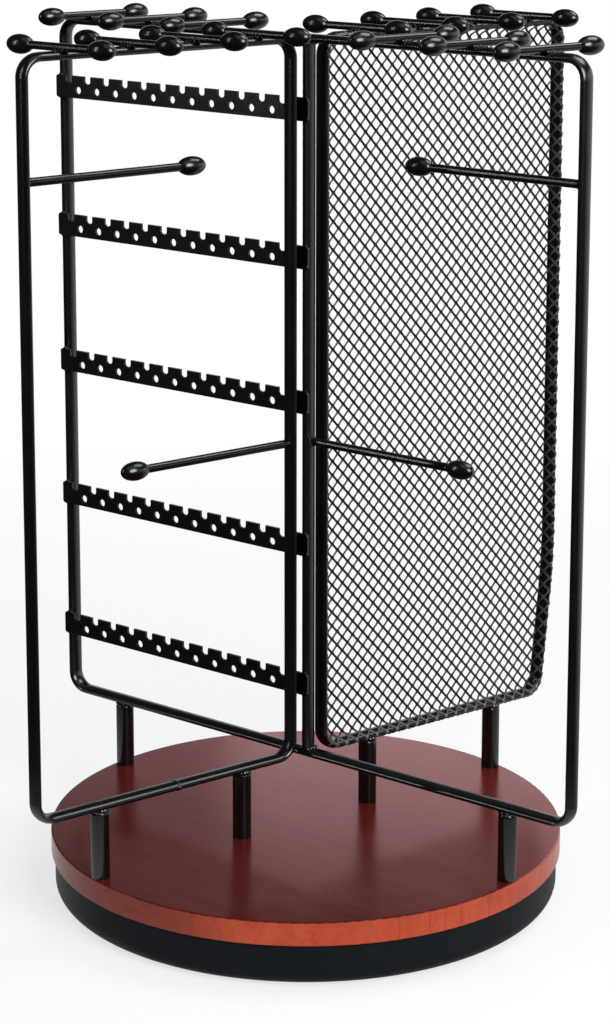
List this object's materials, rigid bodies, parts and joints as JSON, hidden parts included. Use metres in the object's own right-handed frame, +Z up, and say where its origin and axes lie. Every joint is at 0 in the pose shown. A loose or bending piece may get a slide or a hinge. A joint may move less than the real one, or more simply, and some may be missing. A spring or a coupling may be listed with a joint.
{
  "type": "rotating jewelry stand",
  "caption": "Turntable jewelry stand: crossed black wire frames with notched earring bars, a mesh panel, hooks and top pegs on a turning wooden disc over a round black base.",
  "frame": {"origin": "on the surface the feet stand on, on the turntable's axis", "axes": "+Z up along the turntable's axis; +X along the wide main frame, towards its open bay with the hooks; the earring bars are on its -Y face"},
  "size_m": [0.2514, 0.2466, 0.3402],
  "materials": {
    "black_metal": "satin black powder coat",
    "turntable_wood": "red-brown stain under satin lacquer",
    "base_black": "matte moulded black",
    "foot_rubber": "matte",
    "ring_aluminium": "turned",
    "steel": "bright zinc",
    "cage_nylon": "natural nylon"
  },
  "bodies": {
    "base": {"base_shell": "base_black", "rubber_feet": "foot_rubber", "bearing_inner_ring": "ring_aluminium", "base_screws": "steel"},
    "ball_train": {"bearing_balls": "steel", "ball_cage": "cage_nylon"},
    "turntable": {"turntable_disc": "turntable_wood", "bearing_outer_ring": "ring_aluminium", "disc_screws": "steel", "post_screws": "steel", "main_post_right": "black_metal", "main_post_left": "black_metal", "open_post_outer": "black_metal", "open_post_inner": "black_metal", "mesh_post_outer": "black_metal", "mesh_post_inner": "black_metal", "main_frame": "black_metal", "open_frame": "black_metal", "mesh_frame": "black_metal", "centre_rod": "black_metal", "mesh_panel": "black_metal", "earring_bar_1": "black_metal", "earring_bar_2": "black_metal", "earring_bar_3": "black_metal", "earring_bar_4": "black_metal", "earring_bar_5": "black_metal", "open_peg_1": "black_metal", "open_peg_2": "black_metal", "open_peg_3": "black_metal", "open_peg_4": "black_metal", "mesh_peg_1": "black_metal", "mesh_peg_2": "black_metal", "mesh_peg_3": "black_metal", "mesh_peg_4": "black_metal", "main_peg_right_1": "black_metal", "main_peg_right_2": "black_metal", "main_peg_right_3": "black_metal", "main_peg_left_1": "black_metal", "main_peg_left_2": "black_metal", "main_peg_left_3": "black_metal", "open_hook_upper": "black_metal", "open_hook_lower": "black_metal", "main_hook_upper": "black_metal", "main_hook_lower": "black_metal"}
  },
  "joints": [
    {"name": "turntable_spin", "type": "hinge", "parent": "base", "child": "turntable", "pos_m": [0, 0, 0.0125], "axis": [0, 0, 1], "continuous": true},
    {"name": "ball_train_spin", "type": "hinge", "parent": "base", "child": "ball_train", "pos_m": [0, 0, 0.0125], "axis": [0, 0, 1], "continuous": true}
  ],
  "couplings": [
    {"joint": "ball_train_spin", "follows": "turntable_spin", "ratio": 0.52083}
  ]
}
